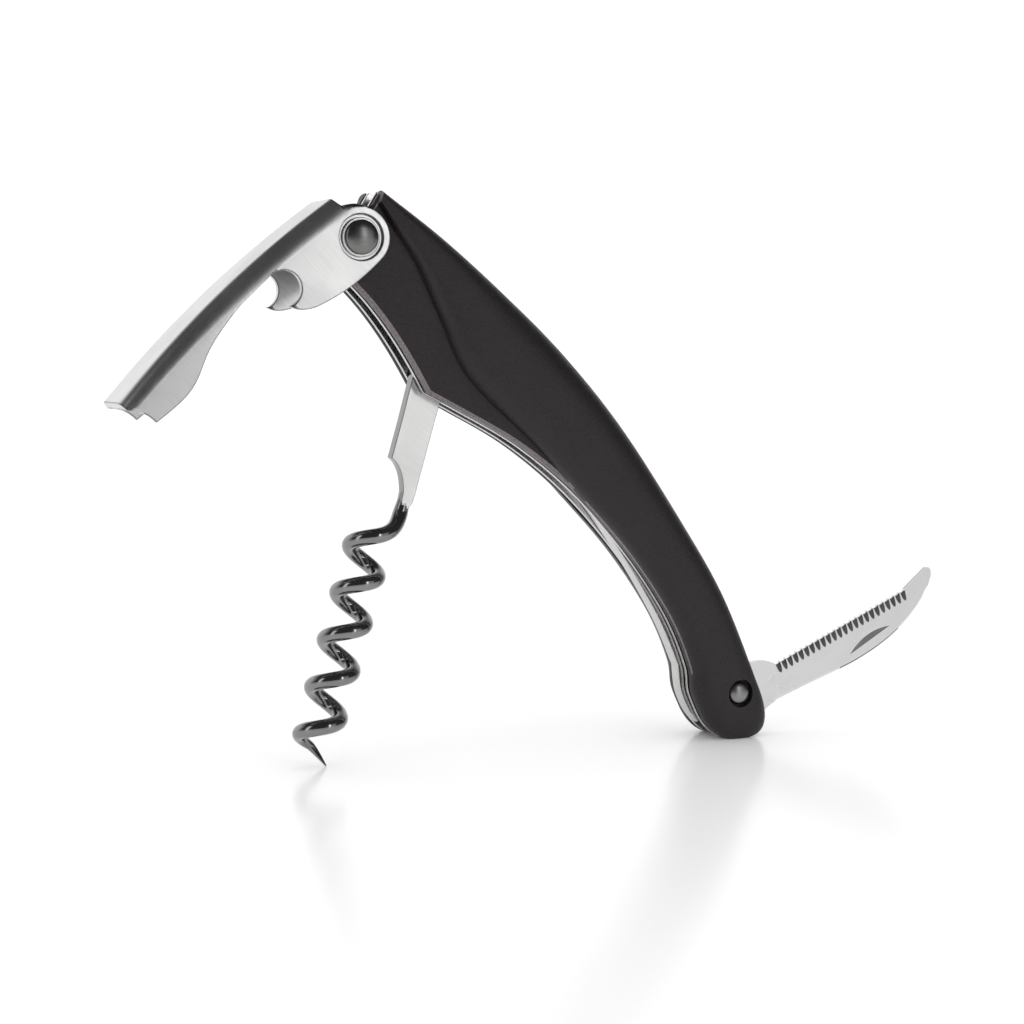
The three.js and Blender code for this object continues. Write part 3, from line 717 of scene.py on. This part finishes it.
for side, node in ((-1, "front_scale"), (1, "rear_scale")):
    start_fresh()
    bpy.ops.mesh.primitive_grid_add(x_subdivisions=STATIONS - 1, y_subdivisions=ACROSS - 1)
    grip = bpy.context.object
    for i, vertex in enumerate(grip.data.vertices):
        station, row = i % STATIONS, i // STATIONS
        across = (1 - math.cos(math.pi * row / (ACROSS - 1))) / 2
        along = station / (STATIONS - 1)
        rise = (grip_height(along) - GRIP_SEAM) * crown(across)
        point = low_side[station].lerp(high_side[station], across)
        vertex.co = placed(point.x, side * (GRIP_SEAM + rise), point.y)
    bpy.ops.object.mode_set(mode="EDIT")
    bpy.ops.mesh.select_all(action="SELECT")
    bpy.ops.mesh.extrude_region_move()
    bpy.ops.transform.resize(value=(1, 0, 1), center_override=(0, side * GRIP_FOOT * MM, 0))
    bpy.ops.mesh.select_all(action="SELECT")
    bpy.ops.mesh.normals_make_consistent(inside=False)
    bpy.ops.object.mode_set(mode="OBJECT")
    grip = settle()

    scale = cut_sheet(f"{node}_moulding", handle_outline(), side * SCALE_IN, side * RECESS_FACE)
    round_rims(scale, SCALE_RIM, 6, 60)
    combine(scale, grip, "UNION")
    drill(scale, LEVER_PIVOT, RIVET_HOLE)
    drill(scale, KNIFE_PIVOT, PIN_HOLE)
    recess = sorted((side * TAIL_RECESS_FLOOR, side * 15))
    drill(scale, KNIFE_PIVOT, TAIL_RECESS, *recess)
    smooth_faces(scale, 38)
    give(scale, black_scale)
    scale.data.materials.append(underside_reflection)
    # Faces on the lower rim that turn down and to the left take the pale material: painted reflection.
    for face in scale.data.polygons:
        on_rim = 3.9 * MM < abs(face.center.y) < 4.66 * MM and 0.1 < abs(face.normal.y) < 0.95
        faces_down = face.normal.x < -0.1 and face.normal.z < 0.3 and placed(0, 0, 12).z < face.center.z
        if on_rim and faces_down:
            face.material_index = 1
    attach(scale, "handle")
    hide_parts(node)


# ---- Rivets ----
# Two polished rivets with a domed head on each side. The large one carries the lever.
# The small one carries the knife and holds the tail. Bright rings sit under the large heads.

CHEEK_OUT = 7
POLE = 0.05


def turned(name, centre, profile, sides=64):
    """A round piece about an axis along Y: a circle drawn out and resized from ring to ring."""
    start_fresh()
    first_radius, first_y = profile[0]
    middle = placed(centre[0], first_y, centre[1])
    bpy.ops.mesh.primitive_circle_add(vertices=sides, radius=first_radius * MM, location=middle,
                                      rotation=(math.pi / 2, 0, 0))
    piece = bpy.context.object
    piece.name = name
    piece.data.name = name
    bpy.ops.object.mode_set(mode="EDIT")
    bpy.ops.mesh.select_all(action="SELECT")
    for (radius, y), (next_radius, next_y) in zip(profile, profile[1:]):
        bpy.ops.mesh.extrude_region_move(TRANSFORM_OT_translate={"value": (0, (next_y - y) * MM, 0)})
        size = next_radius / radius
        bpy.ops.transform.resize(value=(size, 1, size), center_override=middle)
    bpy.ops.mesh.select_all(action="SELECT")
    bpy.ops.mesh.remove_doubles(threshold=0.001 * MM)
    bpy.ops.mesh.select_non_manifold(extend=False)
    if profile[0] != profile[-1]:
        bpy.ops.mesh.edge_face_add()
    bpy.ops.mesh.select_all(action="SELECT")
    bpy.ops.mesh.normals_make_consistent(inside=False)
    bpy.ops.object.mode_set(mode="OBJECT")
    return settle()


def domed_rivet(name, centre, shaft, head, head_from, rise):
    """Both heads and the shaft between, as one profile from the front pole to the rear pole."""
    steps = 12
    rim = 0.12
    half = [(shaft, head_from), (head - rim, head_from), (head, head_from + rim)]
    for step in range(1, steps):
        angle = step / steps * math.pi / 2
        half.append((head * math.cos(angle), head_from + rim + (rise - rim) * math.sin(angle)))
    half.append((POLE, head_from + rise))
    profile = [(radius, -y) for radius, y in reversed(half)] + half
    return turned(name, centre, profile)


ring_from = CHEEK_OUT - 0.4
ring_to = ring_from + 0.35
lever_rivet = domed_rivet("lever_rivet_polished", LEVER_PIVOT, 1.9, 2.9, ring_to + 0.15, 1.1)
knife_rivet = domed_rivet("knife_rivet_polished", KNIFE_PIVOT, 1.25, 2.1, TAIL_RECESS_FLOOR + 0.3, 1.1)
# The large rivet's steel is toned dark, partly painted dark reflection on its polished dome.
soft_rivet = steel("soft_rivet", (0.22, 0.218, 0.216), 0.26, line_height=0.0000015, line_tone=0.2,
                   patch_tone=0.15)
satin_rivet = steel("satin_rivet", (0.3, 0.298, 0.296), 0.34, line_height=0.000002, line_tone=0.1)
for rivet, node, finish in ((lever_rivet, "lever_rivet", soft_rivet),
                            (knife_rivet, "knife_rivet", satin_rivet)):
    smooth_faces(rivet, 50)
    give(rivet, finish)
    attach(rivet, "handle")
    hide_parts(node)


# ---- Lever ----
# A sheet of stainless steel folded into a channel, so that two cheeks hang from one back.
# The cheeks are brushed, each has a cap lifter's notch, and their eyes turn on the large rivet.

LEVER_SHOULDER = Vector((-34.9, 95.9))
LEVER_FOOT = Vector((-70.9, 62.5))
LEVER_BULGE = 1.6
OVERHANG = 3
CHEEK_EDGE = [(-51, 78.2), (-54.3, 74.1), (-56.5, 70.6), (-58.6, 65.8), (-61, 62.8), (-65.2, 59.4)]
CHEEK_IN = 5.65
FOLD = 2.5
NOTCH_CENTRE = (-43.75, 80.9)
NOTCH_RADIUS = 3.1
EYE_RADIUS = 5.05
DIMPLE_RADIUS = 3.85
DIMPLE_DEPTH = 0.6
EYE_ENDS_AT = -38
NOTCH_ENDS_AT = 146
NOTCH_LIP = (-38.1, 78)
CHEEK_DROP = 24
BACK_CLEARANCE = 4
LEVER_RIM = 0.14

pivot_x, pivot_z = LEVER_PIVOT
lever_slope = LEVER_SHOULDER - LEVER_FOOT
lever_angle = math.atan2(lever_slope.y, lever_slope.x)
sheet_length = lever_slope.length + 12

start_fresh()
bpy.ops.mesh.primitive_grid_add(x_subdivisions=40, y_subdivisions=1)
lever = bpy.context.object
lever.name = "lever_folded"
lever.data.name = "lever_folded"
for vertex in lever.data.vertices:
    vertex.co = ((vertex.co.x + 1) / 2 * sheet_length * MM, vertex.co.y * CHEEK_OUT * MM, 0)
bpy.ops.object.mode_set(mode="EDIT")
bpy.ops.mesh.select_mode(type="EDGE")
bpy.ops.mesh.select_all(action="DESELECT")
bpy.ops.object.mode_set(mode="OBJECT")
for edge in lever.data.edges:
    edge.select = abs(sum(lever.data.vertices[v].co.y for v in edge.vertices)) > 1.99 * CHEEK_OUT * MM
bpy.ops.object.mode_set(mode="EDIT")
bpy.ops.mesh.extrude_region_move(TRANSFORM_OT_translate={"value": (0, 0, -CHEEK_DROP * MM)})
bpy.ops.mesh.select_all(action="SELECT")
bpy.ops.mesh.normals_make_consistent(inside=False)
bpy.ops.mesh.select_all(action="DESELECT")
bpy.ops.object.mode_set(mode="OBJECT")
for edge in lever.data.edges:
    start, stop = (lever.data.vertices[v].co for v in edge.vertices)
    edge.select = abs(start.y + stop.y) > 1.99 * CHEEK_OUT * MM and max(-start.z, -stop.z) < 0.1 * MM
bpy.ops.object.mode_set(mode="EDIT")
bpy.ops.mesh.bevel(offset=FOLD * MM, segments=10, clamp_overlap=False)
bpy.ops.object.mode_set(mode="OBJECT")
for vertex in lever.data.vertices:
    if -FOLD * MM * 1.01 < vertex.co.z < 0:
        vertex.co.z *= 1 + 0.5 * vertex.co.x / (sheet_length * MM)
    share = (vertex.co.x / MM - OVERHANG) / lever_slope.length
    vertex.co.z += 4 * LEVER_BULGE * MM * share * (1 - share)
apply_modifier(lever, "SOLIDIFY", thickness=(CHEEK_OUT - CHEEK_IN) * MM, offset=-1, use_even_offset=True)
foot = LEVER_FOOT - OVERHANG * lever_slope.normalized()
lever.rotation_euler = (0, -lever_angle, 0)
lever.location = placed(foot.x, 0, foot.y)
settle()

# The outline runs clear of the back, so that only the ends and the cheeks are trimmed.
outward = BACK_CLEARANCE * Vector((-math.sin(lever_angle), math.cos(lever_angle)))
cheek_outline = chain(
    [LEVER_SHOULDER + outward], bend([LEVER_SHOULDER, (-33.5, 93.9), (pivot_x - 1.4, pivot_z + 5)]),
    arc(LEVER_PIVOT, EYE_RADIUS, 105, EYE_ENDS_AT, 40),
    bend([on_circle(LEVER_PIVOT, EYE_RADIUS, EYE_ENDS_AT), (-31.4, 81), NOTCH_LIP], 14),
    bend([NOTCH_LIP, (-41, 77), (-42.5, 78.05)], 8),
    arc(NOTCH_CENTRE, NOTCH_RADIUS, -66, NOTCH_ENDS_AT, 32),
    smooth([on_circle(NOTCH_CENTRE, NOTCH_RADIUS, NOTCH_ENDS_AT), *CHEEK_EDGE]),
    bend([CHEEK_EDGE[-1], (-67, 61.4), (-69.9, 61.4)], 8),
    [LEVER_FOOT, LEVER_FOOT + outward])
combine(lever, cut_sheet("cheeks", cheek_outline, -10, 10), "INTERSECT")
drill(lever, LEVER_PIVOT, TONGUE_RADIUS + 0.3, -CHEEK_IN, CHEEK_IN, 64)
drill(lever, LEVER_PIVOT, RIVET_HOLE)
drill(lever, LEVER_PIVOT, DIMPLE_RADIUS, CHEEK_OUT - DIMPLE_DEPTH, 9, 64)
drill(lever, LEVER_PIVOT, DIMPLE_RADIUS, -9, DIMPLE_DEPTH - CHEEK_OUT, 64)
round_rims(lever, LEVER_RIM, 2, 55)
smooth_faces(lever, 35)

# The cheeks' rims are made much darker than their faces: painted shade on the edges.
brushed_steel = steel("brushed_steel", (0.74, 0.738, 0.735), 0.3, turn=(0, math.radians(-46), 0),
                      line_tone=0.2, wear_and_shade_tone=-0.62, wear_and_shade_width=0.0005)
# The cut edges of the sheet take a dark steel: painted shade.
cut_edge_shade = steel("cut_edge_shade", (0.16, 0.158, 0.156), 0.35, line_tone=0.1)
give(lever, brushed_steel)
lever.data.materials.append(cut_edge_shade)
for face in lever.data.polygons:
    place = drawn_at(face.center) - LEVER_FOOT
    share = place.dot(lever_slope) / lever_slope.length_squared
    below_back = 4 * LEVER_BULGE * share * (1 - share) - place.dot(outward.normalized())
    on_cut_edge = below_back > 1.5 * FOLD or not 0.01 < share < 0.99
    if on_cut_edge and 0.05 < abs(face.normal.y) < 0.985:
        face.material_index = 1
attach(lever, "lever")
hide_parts("lever")

for side, node in ((-1, "front_rivet_ring"), (1, "rear_rivet_ring")):
    near, far = side * ring_from, side * ring_to
    profile = [(RIVET_HOLE, near), (3.3, near), (3.3, far - side * 0.1), (3.2, far), (RIVET_HOLE, far),
               (RIVET_HOLE, near)]
    ring = turned(f"{node}_bright", LEVER_PIVOT, profile)
    smooth_faces(ring, 30)
    give(ring, brushed_steel)
    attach(ring, "lever")
    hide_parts(node)

for node in ("lever_bush", "front_lever_washer", "rear_lever_washer"):
    give(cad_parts[node], plain_steel)


# ---- Table, light and camera ----
# A plain glossy white table with white behind it.
# A broad light and a narrow one stand in front on the right, and a tall one on the left.

WHITE = 1.15
DIM_SIDES = 0.07
bpy.context.scene.view_settings.view_transform = "Standard"
start_fresh()
bpy.ops.mesh.primitive_plane_add(size=6, location=(0, 0, 0))
table = bpy.context.object
table.name = "table"
table_white = bpy.data.materials.new("table_white")
table_white.use_nodes = True
shader = table_white.node_tree.nodes["Principled BSDF"]
shader.inputs["Base Color"].default_value = (0.9, 0.9, 0.9, 1)
shader.inputs["Roughness"].default_value = 0.2
shader.inputs["Specular IOR Level"].default_value = 0.2
give(table, table_white)

world = bpy.data.worlds.new("studio")
world.use_nodes = True
bpy.context.scene.world = world
tree = world.node_tree
background = tree.nodes["Background"]
rays = add_node(tree, "ShaderNodeLightPath")
direction = add_node(tree, "ShaderNodeTexCoord")
parts = add_node(tree, "ShaderNodeSeparateXYZ", {0: direction.outputs["Generated"]})
behind = add_node(tree, "ShaderNodeMapRange", {"Value": parts.outputs["Y"], "From Min": 0.1, "From Max": 0.6,
                                               "To Min": 0.0, "To Max": WHITE})
low = add_node(tree, "ShaderNodeMapRange", {"Value": parts.outputs["Z"], "From Min": 0.5, "From Max": 0.8,
                                            "To Min": 1.0, "To Max": 0.0})
backdrop = add_node(tree, "ShaderNodeMath", {0: behind.outputs[0], 1: low.outputs[0]}, operation="MULTIPLY")
dim = add_node(tree, "ShaderNodeMath", {0: backdrop.outputs[0], 1: DIM_SIDES}, operation="MAXIMUM")
plain_rays = add_node(tree, "ShaderNodeMath",
                      {0: rays.outputs["Is Camera Ray"], 1: rays.outputs["Is Diffuse Ray"]},
                      operation="MAXIMUM")
plain_white = add_node(tree, "ShaderNodeMath", {0: plain_rays.outputs[0], 1: WHITE}, operation="MULTIPLY")
brightness = add_node(tree, "ShaderNodeMath", {0: dim.outputs[0], 1: plain_white.outputs[0]},
                      operation="MAXIMUM")
background.inputs["Color"].default_value = (1, 1, 1, 1)
tree.links.new(brightness.outputs[0], background.inputs["Strength"])


def soft_light(name, size, power, location, target=(0, 0, 0.05)):
    bpy.ops.object.light_add(type="AREA", location=location)
    lamp = bpy.context.object
    lamp.name = name
    lamp.data.shape = "RECTANGLE"
    lamp.data.size, lamp.data.size_y = size
    lamp.data.energy = power
    lamp.visible_camera = False
    aim = Vector(target) - Vector(location)
    lamp.rotation_euler = aim.to_track_quat("-Z", "Y").to_euler()


soft_light("light_front", (0.6, 0.7), 0.7, (0.5, -0.86, 0.12))
soft_light("light_strip", (0.06, 0.5), 0.55, (0.32, -0.9, 0.3))
soft_light("light_side", (0.25, 0.8), 1.0, (-0.95, -0.3, 0.35))

CAMERA_TURN = math.radians(-24)
CAMERA_RISE = math.radians(4.47)
CAMERA_DISTANCE = 0.380
CAMERA_LENS = 76.15
CAMERA_TARGET = Vector((SHIFT_X * MM, 0, 0.04255))
away = Vector((math.sin(CAMERA_TURN) * math.cos(CAMERA_RISE), -math.cos(CAMERA_TURN) * math.cos(CAMERA_RISE),
               math.sin(CAMERA_RISE)))
bpy.ops.object.camera_add(location=CAMERA_TARGET + CAMERA_DISTANCE * away)
camera = bpy.context.object
camera.rotation_euler = (-away).to_track_quat("-Z", "Y").to_euler()
camera.data.lens = CAMERA_LENS
camera.data.sensor_width = 36
camera.data.clip_start = 0.01
bpy.context.scene.camera = camera
